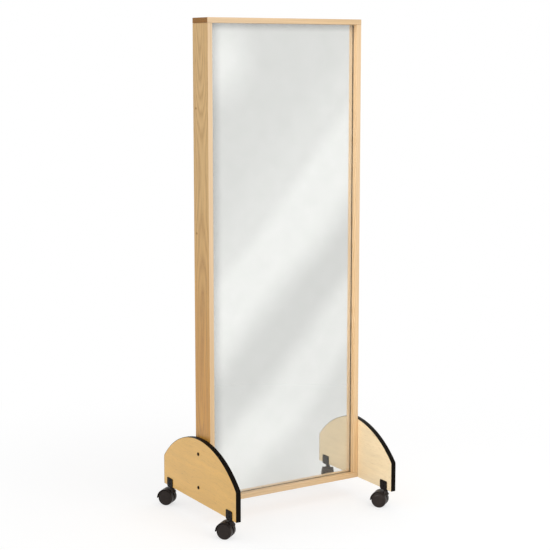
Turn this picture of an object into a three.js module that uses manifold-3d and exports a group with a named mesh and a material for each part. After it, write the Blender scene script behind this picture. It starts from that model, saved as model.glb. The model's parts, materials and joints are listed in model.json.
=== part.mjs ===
// A rolling floor mirror: a deep wooden frame round a tall mirror, standing on two arched foot panels with
// black T-moulding on their edges and a hooded twin-wheel caster under each panel end.
// Millimetres, +Z up, +X to the right of someone who looks into the mirror, and the mirror faces -Y.

import * as THREE from "three";
import { mergeVertices } from "three/addons/utils/BufferGeometryUtils.js";
import Module from "manifold-3d";

const wasm = await Module();
wasm.setup();

// ---------------------------------------------------------------- driving dimensions

// Frame of four boards
const frameWidth = 610;
const frameHeight = 1638;
const frameDepth = 101;
const boardThickness = 18;
const boardEase = 1; // chamfer along the boards' long edges
const seat = 0.3; // room left between pieces that touch

// Mirror and backing, held in one groove in all four boards
const mirrorSetback = 20; // front of the frame to the glass
const mirrorThickness = 6;
const backingThickness = 3;
const grooveDepth = 6;
const paneEdgeGap = 1; // between a pane's side edges and the bottom of the groove

// Spreaders across the open back
const spreaderDepth = 38;
const spreaderThickness = 18;
const upperSpreaderHeight = 1341; // above the bottom of the frame
const lowerSpreaderHeight = 923;

// Wood screws of the spreaders and of the frame's corners
const screwDiameter = 4;
const screwHeadDiameter = 8;
const spreaderScrewLength = 45;
const cornerScrewLength = 60;
const cornerScrewOffset = 25; // behind the middle of the boards' depth, clear of the foot bolts

// Foot panels
const groundClearance = 68.5; // floor to the bottom edge of the panels and of the frame
const footLength = 508;
const footThickness = 18;
const footCrownHeight = 219; // at mid-length
const footEndHeight = 102; // of the upright ends, where the arch starts

// T-moulding on the arch and the upright ends
const mouldingFace = 2;
const mouldingEase = 0.7;
const barbDepth = 8;
const barbThickness = 2;

// Bolts that join a foot panel to its stile
const lowerBoltHeight = 51; // above the bottom of the panel
const upperBoltHeight = 169;
const boltDiameter = 6;
const boltHeadDiameter = 12;
const boltHeadHeight = 3.2;
const boltTipLength = 1.5; // beyond the nut
const nutAcrossFlats = 10;
const nutHeight = 5;
const nutFlangeDiameter = 14;
const nutFlangeHeight = 1.2;

// U-shaped brackets over the bottom edge of a panel
const casterInset = 44; // end of the panel to the swivel axis
const bracketLength = 40;
const bracketHeight = 30; // of its cheeks, above the bottom of the panel
const bracketWall = 2;
const bracketBase = 2.5;
const bracketBaseLength = 28;
const bracketCornerRadius = 4;
const bracketBendRadius = 2.5;
const lowerRivetHeight = 9;
const upperRivetHeight = 21;
const rivetDiameter = 4;
const rivetHeadDiameter = 7.5;
const rivetHeadHeight = 1.4;

// Stem that the caster swivels on
const stemDiameter = 8;
const stemHeadDiameter = 14;
const stemHeadHeight = 2.2;
const stemReach = 22; // bottom of the panel to the lower end of the stem

// Caster
const swivelHeading = 127; // degrees from +X, anticlockwise from above, that the wheels trail towards
const trail = 20;
const wheelDiameter = 54;
const wheelWidth = 19.5;
const wheelGap = 0.7; // between a wheel and the web of the hood
const treadEdgeRadius = 3.5;
const wheelCapDiameter = 39;
const wheelCapRise = 1.2;
const wheelRimWall = 3.5;
const wheelHubDiameter = 15;
const wheelDishDepth = 8;
const wheelFaceWall = 3; // outside the blind end of the bore
const axleDiameter = 6;
const webThickness = 6;
const axleBossDiameter = 16;
const hoodGap = 1.6; // tread to the inside of the hood
const hoodWall = 2.4;
const hoodCrownWidth = 40; // of the hood at its top
const hoodSkirtWidth = 46; // of the hood at the height of the axle
const hoodLeadingAngle = 36; // degrees above the axle where the hood starts over the leading side
const hoodTrailingAngle = -4; // degrees above the axle where it ends on the trailing side
const neckTopDiameter = 15;
const neckFootDiameter = 26;
const neckTopHeight = 4; // length of the straight part of the neck
const boreGap = 0.35; // round a shaft that turns or is pressed in

// Facets of round shapes
const archSegments = 18;
const wheelSegments = 20;
const turnedSegments = 12;
const fastenerSegments = 8;
const hoodSegments = 10;
const cornerSegments = 2;

// ---------------------------------------------------------------- derived dimensions

const sightWidth = frameWidth - 2 * boardThickness;
const sightHeight = frameHeight - 2 * boardThickness;
const frameFront = -frameDepth / 2;
const mirrorFront = frameFront + mirrorSetback;
const grooveWidth = mirrorThickness + backingThickness + 3 * seat;
const grooveCentre = mirrorFront - seat + grooveWidth / 2;
const paneWidth = sightWidth + 2 * (grooveDepth - paneEdgeGap);
const paneHeight = sightHeight + 2 * (grooveDepth - seat);
const footFace = frameWidth / 2 + seat; // inner face of a foot panel, from the middle
const footMiddle = footFace + footThickness / 2;
const casterOffset = footLength / 2 - casterInset;
const wheelRadius = wheelDiameter / 2;
const axleHeight = wheelRadius * Math.cos(Math.PI / wheelSegments); // a flat of the tread is on the floor
const axleDrop = groundClearance - axleHeight; // below the bottom of the panel
const bracketHeadroom = stemHeadHeight + 2 * seat; // between the base and the edge of the panel
const bracketDrop = bracketHeadroom + bracketBase;
const hoodInnerRadius = wheelRadius + hoodGap;
const hoodOuterRadius = hoodInnerRadius + hoodWall;
const wheelInside = webThickness / 2 + wheelGap; // middle of the caster to a wheel's inner face
const wheelOutside = wheelInside + wheelWidth;

// ---------------------------------------------------------------- solids and booleans

function solidOf(geometry) {
  const bare = geometry.index ? geometry.clone() : geometry;
  bare.deleteAttribute("normal");
  bare.deleteAttribute("uv");
  const merged = mergeVertices(bare, 1e-4);
  return new wasm.Manifold(
    new wasm.Mesh({
      numProp: 3,
      vertProperties: merged.attributes.position.array,
      triVerts: new Uint32Array(merged.index.array),
    }),
  );
}

function geometryOf(solid) {
  const mesh = solid.getMesh();
  const geometry = new THREE.BufferGeometry();
  geometry.setAttribute("position", new THREE.BufferAttribute(mesh.vertProperties, 3));
  geometry.setIndex(new THREE.BufferAttribute(mesh.triVerts, 1));
  geometry.computeVertexNormals();
  return geometry;
}

function cut(body, ...tools) {
  const left = tools.reduce((solid, tool) => solid.subtract(solidOf(tool)), solidOf(body));
  return geometryOf(left);
}

function join(...bodies) {
  return geometryOf(bodies.map(solidOf).reduce((sum, solid) => sum.add(solid)));
}

function common(a, b) {
  return geometryOf(solidOf(a).intersect(solidOf(b)));
}

// ---------------------------------------------------------------- basic forms

const X = new THREE.Vector3(1, 0, 0);
const Y = new THREE.Vector3(0, 1, 0);
const Z = new THREE.Vector3(0, 0, 1);

// Where a shape's own x, y and extrusion point, for a plate that is square to an axis.
const plateBasis = {
  x: new THREE.Matrix4().makeBasis(Y, Z, X),
  y: new THREE.Matrix4().makeBasis(X, Z, Y.clone().negate()),
  z: new THREE.Matrix4().makeBasis(X, Y, Z),
};

// A shape given thickness, centred on its own plane and square to the axis named.
function plate(shape, thickness, axis, ease = 0, curveSegments = 8) {
  const geometry = new THREE.ExtrudeGeometry(shape, {
    depth: thickness - 2 * ease,
    curveSegments,
    bevelEnabled: ease > 0,
    bevelThickness: ease,
    bevelSize: ease,
    bevelOffset: -ease,
    bevelSegments: 1,
  });
  geometry.translate(0, 0, ease - thickness / 2);
  return geometry.applyMatrix4(plateBasis[axis]);
}

// A solid of revolution whose profile lists [radius, distance along the axis], from axis to axis.
function turned(profile, axis, segments = turnedSegments, start = 0) {
  const points = profile.map(([radius, along]) => new THREE.Vector2(radius, along));
  const geometry = new THREE.LatheGeometry(points, segments, start);
  if (axis === "x") geometry.rotateZ(-Math.PI / 2);
  if (axis === "z") geometry.rotateX(Math.PI / 2);
  return geometry;
}

function rod(radius, from, to, axis, segments = turnedSegments) {
  return turned([[0, from], [radius, from], [radius, to], [0, to]], axis, segments);
}

// A loft through rings of equally many points, closed at both ends by the shape of the rings' profile.
function loft(rings, profile) {
  const count = profile.length;
  const positions = rings.flat().flatMap((point) => point.toArray());
  const triangles = [];
  for (let ring = 0; ring < rings.length - 1; ring += 1) {
    for (let k = 0; k < count; k += 1) {
      const [a, b] = [ring * count + k, ring * count + ((k + 1) % count)];
      triangles.push(a, b, a + count, b, b + count, a + count);
    }
  }
  const last = (rings.length - 1) * count;
  for (const [a, b, c] of THREE.ShapeUtils.triangulateShape(profile, [])) {
    triangles.push(a, c, b, last + a, last + b, last + c);
  }
  const geometry = new THREE.BufferGeometry();
  geometry.setAttribute("position", new THREE.Float32BufferAttribute(positions, 3));
  geometry.setIndex(triangles);
  return geometry;
}

function block(width, depth, height) {
  return new THREE.BoxGeometry(width, depth, height);
}

function rectangle(width, height, corner) {
  const [w, h] = [width / 2, height / 2];
  const shape = new THREE.Shape();
  shape.moveTo(-w + corner, -h);
  shape.lineTo(w - corner, -h);
  shape.lineTo(w, -h + corner);
  shape.lineTo(w, h - corner);
  shape.lineTo(w - corner, h);
  shape.lineTo(-w + corner, h);
  shape.lineTo(-w, h - corner);
  shape.lineTo(-w, -h + corner);
  shape.closePath();
  return shape;
}

// ---------------------------------------------------------------- materials

function finish(color, roughness, metalness = 0) {
  return new THREE.MeshStandardMaterial({ color, roughness, metalness });
}

const oak = finish(0xd2a870, 0.55);
const birch = finish(0xe0bf88, 0.45);
const hardboard = finish(0x8a6442, 0.8);
const silvered = finish(0xdfe4de, 0.04, 1);
const blackVinyl = finish(0x1d1815, 0.45);
const blackNylon = finish(0x2a2420, 0.4);
const blackSteel = finish(0x1b1917, 0.4, 0.6);
const zincSteel = finish(0xb4b6b8, 0.35, 1);

const assembly = new THREE.Group();

function place(parent, name, geometry, material, x = 0, y = 0, z = 0) {
  const mesh = new THREE.Mesh(geometry, material);
  mesh.name = name;
  mesh.position.set(x, y, z);
  parent.add(mesh);
  return mesh;
}

// ---------------------------------------------------------------- screws and bolts

// A countersunk wood screw that points along -axis, with the middle of its head at the origin.
function woodScrew(length, axis, room = 0) {
  const shank = screwDiameter / 2 + room;
  const head = screwHeadDiameter / 2 + room;
  const sink = head - shank;
  const profile = [
    [0, -length - room],
    [shank, -length + screwDiameter],
    [shank, -sink],
    [head, 0],
    [0, 0],
  ];
  return turned(profile, axis, fastenerSegments);
}

// The hole for such a screw runs on above the head, so that the head sinks in by the seat.
function screwHole(length, axis) {
  const hole = woodScrew(length, axis, seat);
  const mouth = rod(screwHeadDiameter / 2 + seat, -seat, 2 * seat, axis, fastenerSegments);
  return join(hole, mouth);
}

// A domed bolt along +X: the underside of the head is at x = 0 and the shank runs towards -X.
function footBolt() {
  const head = boltHeadDiameter / 2;
  const shank = boltDiameter / 2;
  const grip = footThickness + boardThickness + 3 * seat + nutFlangeHeight + nutHeight + boltTipLength;
  const profile = [
    [0, -grip],
    [shank, -grip],
    [shank, 0],
    [head, 0],
    [head, 0.35 * boltHeadHeight],
    [0.8 * head, 0.8 * boltHeadHeight],
    [0.4 * head, boltHeadHeight],
    [0, boltHeadHeight],
  ];
  return turned(profile, "x");
}

// A flanged hexagon nut along X, seated at x = 0 and standing out towards -X.
function footNut() {
  const corner = nutAcrossFlats / Math.sqrt(3);
  const hexagon = new THREE.Shape();
  for (let side = 0; side < 6; side += 1) {
    const angle = (side * Math.PI) / 3;
    hexagon.lineTo(corner * Math.cos(angle), corner * Math.sin(angle));
  }
  const flange = rod(nutFlangeDiameter / 2, -nutFlangeHeight, 0, "x");
  const body = plate(hexagon, nutHeight, "x").translate(-nutFlangeHeight - nutHeight / 2, 0, 0);
  const bore = rod(boltDiameter / 2 + boreGap, -nutHeight - nutFlangeHeight - 1, 1, "x");
  return cut(join(flange, body), bore);
}

function rivetHole() {
  return rod(rivetDiameter / 2 + boreGap, -footThickness, footThickness, "x", fastenerSegments);
}

// ---------------------------------------------------------------- frame, mirror and back

const spreaderHeights = { upper: upperSpreaderHeight, lower: lowerSpreaderHeight };
const boltHeights = { upper: upperBoltHeight, lower: lowerBoltHeight };
const sides = { left: -1, right: 1 };
const ends = { front: -1, rear: 1 };
const spreaderLine = frameDepth / 2 - spreaderDepth / 2; // middle of the spreaders' depth
const stileLength = sightHeight - 2 * seat;

// The groove that the mirror and the backing stand in, as a bar of the sight opening's size and a depth.
function groove() {
  const bar = block(sightWidth + 2 * grooveDepth, grooveWidth, sightHeight + 2 * grooveDepth);
  return bar.translate(0, grooveCentre, frameHeight / 2);
}

function makeStile(side) {
  const board = plate(rectangle(boardThickness, frameDepth, boardEase), stileLength, "z");
  const middle = side * (frameWidth / 2 - boardThickness / 2);
  board.translate(middle, 0, frameHeight / 2);
  const holes = [groove()];
  for (const height of Object.values(spreaderHeights)) {
    const hole = screwHole(spreaderScrewLength, "x");
    if (side < 0) hole.rotateZ(Math.PI);
    holes.push(hole.translate(side * frameWidth / 2, spreaderLine, height));
  }
  for (const height of Object.values(boltHeights)) {
    const hole = rod(boltDiameter / 2 + boreGap, -boardThickness, boardThickness, "x");
    holes.push(hole.translate(middle, 0, height));
  }
  const topHole = screwHole(cornerScrewLength, "z");
  const bottomHole = screwHole(cornerScrewLength, "z").rotateX(Math.PI);
  holes.push(topHole.translate(middle, cornerScrewOffset, frameHeight));
  holes.push(bottomHole.translate(middle, cornerScrewOffset, 0));
  return cut(board, ...holes);
}

function makeRail(end) {
  const board = plate(rectangle(frameDepth, boardThickness, boardEase), frameWidth, "x");
  board.translate(0, 0, end > 0 ? frameHeight - boardThickness / 2 : boardThickness / 2);
  const holes = [groove()];
  for (const side of Object.values(sides)) {
    const hole = screwHole(cornerScrewLength, "z");
    if (end < 0) hole.rotateX(Math.PI);
    const middle = side * (frameWidth / 2 - boardThickness / 2);
    holes.push(hole.translate(middle, cornerScrewOffset, end > 0 ? frameHeight : 0));
  }
  return cut(board, ...holes);
}

function makeSpreader(height) {
  const bar = plate(rectangle(spreaderDepth, spreaderThickness, boardEase), sightWidth - 2 * seat, "x");
  bar.translate(0, spreaderLine, height);
  const holes = Object.values(sides).map((side) => {
    const hole = screwHole(spreaderScrewLength, "x");
    if (side < 0) hole.rotateZ(Math.PI);
    return hole.translate(side * frameWidth / 2, spreaderLine, height);
  });
  return cut(bar, ...holes);
}

const frame = new THREE.Group();
frame.position.z = groundClearance;
assembly.add(frame);

for (const [name, side] of Object.entries(sides)) {
  place(frame, `${name}_stile`, makeStile(side), oak);
}
place(frame, "top_rail", makeRail(1), oak);
place(frame, "bottom_rail", makeRail(-1), oak);

const paneMiddle = boardThickness - grooveDepth + seat + paneHeight / 2;
const mirrorPane = block(paneWidth, mirrorThickness, paneHeight);
place(frame, "mirror_pane", mirrorPane, silvered, 0, mirrorFront + mirrorThickness / 2, paneMiddle);
const backingFront = mirrorFront + mirrorThickness + seat;
const backing = block(paneWidth, backingThickness, paneHeight);
place(frame, "backing_board", backing, hardboard, 0, backingFront + backingThickness / 2, paneMiddle);

for (const [level, height] of Object.entries(spreaderHeights)) {
  place(frame, `${level}_spreader`, makeSpreader(height), oak);
  for (const [name, side] of Object.entries(sides)) {
    const screw = woodScrew(spreaderScrewLength, "x");
    if (side < 0) screw.rotateZ(Math.PI);
    const head = side * (frameWidth / 2 - seat);
    place(frame, `${level}_spreader_screw_${name}`, screw, zincSteel, head, spreaderLine, height);
  }
}

for (const [name, side] of Object.entries(sides)) {
  const middle = side * (frameWidth / 2 - boardThickness / 2);
  const topScrew = woodScrew(cornerScrewLength, "z");
  const bottomScrew = woodScrew(cornerScrewLength, "z").rotateX(Math.PI);
  const top = frameHeight - seat;
  place(frame, `top_${name}_corner_screw`, topScrew, zincSteel, middle, cornerScrewOffset, top);
  place(frame, `bottom_${name}_corner_screw`, bottomScrew, zincSteel, middle, cornerScrewOffset, seat);
}

// ---------------------------------------------------------------- foot panels

// The arch is a circle through the crown and the tops of both upright ends.
const archRise = footCrownHeight - footEndHeight;
const archRadius = ((footLength / 2) ** 2 + archRise ** 2) / (2 * archRise);
const archCentre = footCrownHeight - archRadius;

// The panel's edge, moved out by offset: from the rear foot over the arch to the front foot.
function edgeLine(offset) {
  const half = footLength / 2 + offset;
  const radius = archRadius + offset;
  const shoulder = Math.acos(half / radius);
  const line = [new THREE.Vector3(0, half, 0)];
  for (let step = 0; step <= archSegments; step += 1) {
    const angle = THREE.MathUtils.lerp(shoulder, Math.PI - shoulder, step / archSegments);
    line.push(new THREE.Vector3(0, radius * Math.cos(angle), archCentre + radius * Math.sin(angle)));
  }
  line.push(new THREE.Vector3(0, -half, 0));
  return line;
}

// A section of [across the panel, out from its edge] swept along that edge.
function alongEdge(section) {
  const lines = section.map(([across, offset]) =>
    edgeLine(offset).map((point) => point.setX(across)));
  const rings = lines[0].map((_, station) => lines.map((line) => line[station]));
  return loft(rings, section.map(([across, offset]) => new THREE.Vector2(across, offset)));
}

function makeFootPanel() {
  const outline = new THREE.Shape(edgeLine(0).map((point) => new THREE.Vector2(point.y, point.z)));
  const panel = plate(outline, footThickness, "x");
  const half = barbThickness / 2 + seat;
  const kerf = alongEdge([[-half, -barbDepth - seat], [half, -barbDepth - seat], [half, 1], [-half, 1]]);
  const holes = Object.values(boltHeights).map((height) =>
    rod(boltDiameter / 2 + boreGap, -footThickness, footThickness, "x").translate(0, 0, height));
  for (const end of Object.values(ends)) {
    for (const height of [lowerRivetHeight, upperRivetHeight]) {
      holes.push(rivetHole().translate(0, end * casterOffset, height));
    }
  }
  return cut(panel, kerf, ...holes);
}

// A T: the face covers the panel's edge, and the barb stands in the kerf.
function makeMoulding() {
  const face = footThickness / 2;
  const barb = barbThickness / 2;
  return alongEdge([
    [-barb, -barbDepth],
    [barb, -barbDepth],
    [barb, seat],
    [face, seat],
    [face, mouldingFace - mouldingEase],
    [face - mouldingEase, mouldingFace],
    [-face + mouldingEase, mouldingFace],
    [-face, mouldingFace - mouldingEase],
    [-face, seat],
    [-barb, seat],
  ]);
}

for (const [name, side] of Object.entries(sides)) {
  const middle = side * footMiddle;
  place(frame, `${name}_foot_panel`, makeFootPanel(), birch, middle);
  place(frame, `${name}_edge_moulding`, makeMoulding(), blackVinyl, middle);
  for (const [level, height] of Object.entries(boltHeights)) {
    const bolt = footBolt();
    const nut = footNut();
    if (side < 0) {
      bolt.rotateZ(Math.PI);
      nut.rotateZ(Math.PI);
    }
    const outside = side * (footFace + footThickness + seat);
    const inside = side * (frameWidth / 2 - boardThickness - seat);
    place(frame, `${name}_${level}_foot_bolt`, bolt, blackSteel, outside, 0, height);
    place(frame, `${name}_${level}_foot_nut`, nut, zincSteel, inside, 0, height);
  }
}

// ---------------------------------------------------------------- brackets, rivets and stems

// Local frame of a caster: the swivel axis is x = y = 0 and the bottom edge of the panel is z = 0.

function channelSection() {
  const inner = footThickness / 2 + seat;
  const outer = inner + bracketWall;
  const shape = new THREE.Shape();
  shape.moveTo(inner, bracketHeight);
  shape.lineTo(inner, -bracketHeadroom);
  shape.lineTo(-inner, -bracketHeadroom);
  shape.lineTo(-inner, bracketHeight);
  shape.lineTo(-outer, bracketHeight);
  shape.lineTo(-outer, -bracketDrop + bracketBendRadius);
  shape.absarc(-outer + bracketBendRadius, -bracketDrop + bracketBendRadius, bracketBendRadius,
    Math.PI, 1.5 * Math.PI, false);
  shape.lineTo(outer - bracketBendRadius, -bracketDrop);
  shape.absarc(outer - bracketBendRadius, -bracketDrop + bracketBendRadius, bracketBendRadius,
    1.5 * Math.PI, 2 * Math.PI, false);
  shape.lineTo(outer, bracketHeight);
  return shape;
}

// The bracket's outline seen square to the panel: cheeks with round corners over a shorter base.
function cheekOutline() {
  const half = bracketLength / 2;
  const base = bracketBaseLength / 2;
  const r = bracketCornerRadius;
  const shape = new THREE.Shape();
  shape.moveTo(-base, -bracketDrop - 1);
  shape.lineTo(base, -bracketDrop - 1);
  shape.lineTo(half, half - base - bracketDrop);
  shape.lineTo(half, bracketHeight - r);
  shape.absarc(half - r, bracketHeight - r, r, 0, Math.PI / 2, false);
  shape.lineTo(-half + r, bracketHeight);
  shape.absarc(-half + r, bracketHeight - r, r, Math.PI / 2, Math.PI, false);
  shape.lineTo(-half, half - base - bracketDrop);
  shape.closePath();
  return shape;
}

function makeBracket() {
  const channel = plate(channelSection(), bracketLength, "y", 0, cornerSegments);
  const outline = plate(cheekOutline(), 2 * footThickness + 4 * bracketWall, "x", 0, cornerSegments);
  const stemHole = rod(stemDiameter / 2 + boreGap, -bracketDrop - 1, 0, "z");
  const rivetHoles = [lowerRivetHeight, upperRivetHeight].map((height) =>
    rivetHole().translate(0, 0, height));
  return cut(common(channel, outline), stemHole, ...rivetHoles);
}

function makeRivet() {
  const shank = rivetDiameter / 2;
  const head = rivetHeadDiameter / 2;
  const face = footThickness / 2 + bracketWall + 2 * seat;
  const half = [
    [shank, 0],
    [shank, face],
    [head, face],
    [0.75 * head, face + 0.75 * rivetHeadHeight],
    [0, face + rivetHeadHeight],
  ];
  const otherHalf = half.slice(1).map(([radius, along]) => [radius, -along]).reverse();
  return turned([...otherHalf, ...half], "x", fastenerSegments);
}

// A headed stem: the head lies on the bracket's base, in the room under the edge of the panel.
function makeStem() {
  const shank = stemDiameter / 2;
  const headBottom = -bracketHeadroom + seat;
  const profile = [
    [0, -stemReach],
    [shank - 1, -stemReach],
    [shank, -stemReach + 1],
    [shank, headBottom],
    [stemHeadDiameter / 2, headBottom],
    [stemHeadDiameter / 2, headBottom + stemHeadHeight],
    [0, headBottom + stemHeadHeight],
  ];
  return turned(profile, "z");
}

// ---------------------------------------------------------------- hooded twin-wheel caster

// Local frame of the swivelling part: as above, with +X towards the trailing side and the axle along Y.

const leading = Math.PI - THREE.MathUtils.degToRad(hoodLeadingAngle);
const trailing = THREE.MathUtils.degToRad(hoodTrailingAngle);

// A sector of a ring round the axle, from the trailing end of the hood over its crown to the leading end.
function hoodSector(inner, outer) {
  const shape = new THREE.Shape();
  shape.absarc(trail, -axleDrop, outer, trailing, leading, false);
  shape.absarc(trail, -axleDrop, inner, leading, trailing, true);
  return shape;
}

// The hood as seen along its trail: straight sides that close in towards the crown.
function hoodTaper() {
  const crown = -axleDrop + hoodOuterRadius;
  const slope = (hoodSkirtWidth - hoodCrownWidth) / 2 / hoodOuterRadius;
  const below = 0.3 * hoodOuterRadius;
  const skirt = hoodSkirtWidth / 2 + slope * below;
  const shape = new THREE.Shape();
  shape.moveTo(-skirt, -axleDrop - below);
  shape.lineTo(skirt, -axleDrop - below);
  shape.lineTo(hoodCrownWidth / 2, crown);
  shape.lineTo(hoodCrownWidth / 2 - slope, crown + 1);
  shape.lineTo(-hoodCrownWidth / 2 + slope, crown + 1);
  shape.lineTo(-hoodCrownWidth / 2, crown);
  shape.closePath();
  return shape;
}

// The web stands between the wheels: it fills the hood's sector and reaches down round the axle.
function webShape() {
  const boss = axleBossDiameter / 2;
  const inside = hoodOuterRadius - hoodWall / 2;
  const shape = new THREE.Shape();
  shape.absarc(trail, -axleDrop, inside, trailing, leading, false);
  shape.lineTo(trail - boss, -axleDrop);
  shape.absarc(trail, -axleDrop, boss, Math.PI, 2 * Math.PI, false);
  shape.closePath();
  return shape;
}

function makeHood() {
  const shell = plate(hoodSector(hoodInnerRadius, hoodOuterRadius), 2 * hoodSkirtWidth, "y", 0, hoodSegments);
  const taper = plate(hoodTaper(), 4 * hoodOuterRadius, "x").translate(trail, 0, 0);
  const web = plate(webShape(), webThickness, "y", 0, hoodSegments);
  const top = -bracketDrop - seat;
  const foot = -axleDrop + Math.sqrt(hoodInnerRadius ** 2 - trail ** 2);
  const neck = turned([
    [0, foot],
    [neckFootDiameter / 2, foot],
    [neckTopDiameter / 2, top - neckTopHeight],
    [neckTopDiameter / 2, top],
    [0, top],
  ], "z");
  const socket = rod(stemDiameter / 2 + boreGap, -stemReach - seat, 0, "z");
  const axleBore = rod(axleDiameter / 2 + boreGap, -webThickness, webThickness, "y");
  const wheelRoom = [-1, 1].map((side) => {
    const half = (wheelOutside + 10 - wheelInside) / 2 + wheelGap;
    const room = rod((wheelRadius + hoodInnerRadius) / 2, -half, half, "y", wheelSegments);
    return room.translate(trail, side * (webThickness / 2 + half), -axleDrop);
  });
  return cut(
    join(common(shell, taper), web, neck),
    socket,
    axleBore.translate(trail, 0, -axleDrop),
    ...wheelRoom,
  );
}

// A wheel on the +Y side of the web: a dished back, a flat tread and a face with a raised round cap.
function makeWheel() {
  const bore = axleDiameter / 2 + boreGap;
  const hub = wheelHubDiameter / 2;
  const rim = wheelRadius - wheelRimWall;
  const cap = wheelCapDiameter / 2;
  const faceLine = wheelOutside - wheelCapRise;
  const edge = treadEdgeRadius;
  const profile = [
    [0, wheelOutside - wheelFaceWall],
    [bore, wheelOutside - wheelFaceWall],
    [bore, wheelInside],
    [hub, wheelInside],
    [(hub + rim) / 2, wheelInside + wheelDishDepth],
    [rim, wheelInside],
    [wheelRadius, wheelInside],
    [wheelRadius, faceLine - edge],
    [wheelRadius - edge * (1 - Math.SQRT1_2), faceLine - edge * (1 - Math.SQRT1_2)],
    [wheelRadius - edge, faceLine],
    [cap + wheelCapRise, faceLine],
    [cap, wheelOutside],
    [0, wheelOutside],
  ];
  return turned(profile, "y", wheelSegments, Math.PI / wheelSegments);
}

function makeAxle() {
  const end = wheelOutside - wheelFaceWall - boreGap;
  const radius = axleDiameter / 2;
  return turned([
    [0, -end],
    [radius - 0.5, -end],
    [radius, -end + 0.5],
    [radius, end - 0.5],
    [radius - 0.5, end],
    [0, end],
  ], "y");
}

for (const [endName, end] of Object.entries(ends)) {
  for (const [sideName, side] of Object.entries(sides)) {
    const name = `${endName}_${sideName}`;
    const caster = new THREE.Group();
    caster.position.set(side * footMiddle, end * casterOffset, groundClearance);
    assembly.add(caster);
    place(caster, `${name}_bracket`, makeBracket(), blackSteel);
    place(caster, `${name}_lower_rivet`, makeRivet(), blackSteel, 0, 0, lowerRivetHeight);
    place(caster, `${name}_upper_rivet`, makeRivet(), blackSteel, 0, 0, upperRivetHeight);
    place(caster, `${name}_stem`, makeStem(), zincSteel);

    const swivel = new THREE.Group();
    swivel.rotation.z = THREE.MathUtils.degToRad(swivelHeading);
    caster.add(swivel);
    place(swivel, `${name}_caster_hood`, makeHood(), blackNylon);
    place(swivel, `${name}_axle`, makeAxle(), zincSteel, trail, 0, -axleDrop);
    place(swivel, `${name}_left_wheel`, makeWheel(), blackNylon, trail, 0, -axleDrop);
    const rightWheel = makeWheel().rotateX(Math.PI);
    place(swivel, `${name}_right_wheel`, rightWheel, blackNylon, trail, 0, -axleDrop);
  }
}

// ---------------------------------------------------------------- origin

// The origin is on the floor, under the middle of the whole with its casters.
assembly.updateMatrixWorld(true);
const middle = new THREE.Box3().setFromObject(assembly, true).getCenter(new THREE.Vector3());
assembly.position.set(-middle.x, -middle.y, 0);

const mirror = new THREE.Group();
mirror.add(assembly);

export default mirror;
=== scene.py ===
import json
import math

import bmesh
import bpy
from bpy.props import FloatProperty, FloatVectorProperty, IntProperty, PointerProperty
from mathutils import Matrix, Vector

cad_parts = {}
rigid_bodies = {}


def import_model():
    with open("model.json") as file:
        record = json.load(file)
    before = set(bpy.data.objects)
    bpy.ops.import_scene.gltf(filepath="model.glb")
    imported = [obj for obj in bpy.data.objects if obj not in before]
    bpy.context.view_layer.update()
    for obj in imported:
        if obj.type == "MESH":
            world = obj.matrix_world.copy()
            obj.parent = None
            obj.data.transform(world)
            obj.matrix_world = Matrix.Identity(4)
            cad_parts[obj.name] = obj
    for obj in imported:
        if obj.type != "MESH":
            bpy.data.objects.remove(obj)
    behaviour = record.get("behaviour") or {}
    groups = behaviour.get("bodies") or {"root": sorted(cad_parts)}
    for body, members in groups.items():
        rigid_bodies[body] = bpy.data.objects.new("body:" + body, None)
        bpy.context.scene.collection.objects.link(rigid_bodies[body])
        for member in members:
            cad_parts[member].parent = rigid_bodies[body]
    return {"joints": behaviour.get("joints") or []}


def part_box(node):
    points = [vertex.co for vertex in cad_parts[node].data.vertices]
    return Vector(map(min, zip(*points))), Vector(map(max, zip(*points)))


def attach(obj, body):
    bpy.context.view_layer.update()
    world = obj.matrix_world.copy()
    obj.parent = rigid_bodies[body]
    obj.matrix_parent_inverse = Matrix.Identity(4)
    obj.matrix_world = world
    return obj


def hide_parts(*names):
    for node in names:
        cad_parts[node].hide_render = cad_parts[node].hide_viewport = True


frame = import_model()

bl_info = {
    "name": "Rolling floor mirror",
    "version": (1, 0, 0),
    "blender": (4, 5, 0),
    "location": "3D View > Sidebar > Floor Mirror",
    "description": "Builds a framed floor mirror on two arched feet with hooded twin-wheel casters",
    "category": "Object",
}

# Row frame: metres, +Z up, +X to the right of a person who looks into the mirror, which faces -Y.
# Pieces are modelled in millimetres in their own frames, and brought to metres where they are placed.
MM = 0.001
X, Y, Z = Vector((1, 0, 0)), Vector((0, 1, 0)), Vector((0, 0, 1))
JOINTS = {joint["name"]: joint for joint in frame["joints"]}
CASTERS = [f"{end}_{side}" for end in ("front", "rear") for side in ("left", "right")]
LEVELS = ("upper", "lower")
OUTWARD = {"left": -X, "right": X}
SEAT = 0.3  # room between pieces that touch
# Radii of holes, each 0.35 mm larger than what goes through it.
BOLT_BORE, AXLE_BORE, RIVET_BORE, STEM_BORE = 3.35, 3.35, 2.35, 4.35

# Each board's own axes: along its grain, across it, and out of its show face.
BOARDS = {
    "left_stile": (Z, Y, -X),
    "right_stile": (Z, -Y, X),
    "top_rail": (-X, -Y, Z),
    "bottom_rail": (-X, Y, -Z),
    "upper_spreader": (X, -Z, Y),
    "lower_spreader": (X, -Z, Y),
}


def linear(code):
    """The linear RGB of an sRGB colour written as six hex digits."""
    parts = [int(code[k:k + 2], 16) / 255 for k in (0, 2, 4)]
    return tuple(p / 12.92 if p <= 0.04045 else ((p + 0.055) / 1.055) ** 2.4 for p in parts)


# ------------------------------------------------------------------ sizes and colours

def size(name, description, default):
    return FloatProperty(name=name, description=description, default=default * MM, min=0.0,
                         unit="LENGTH")


def share(name, description, default):
    return FloatProperty(name=name, description=description, default=default, min=0.0, max=1.0,
                         subtype="FACTOR")


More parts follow.
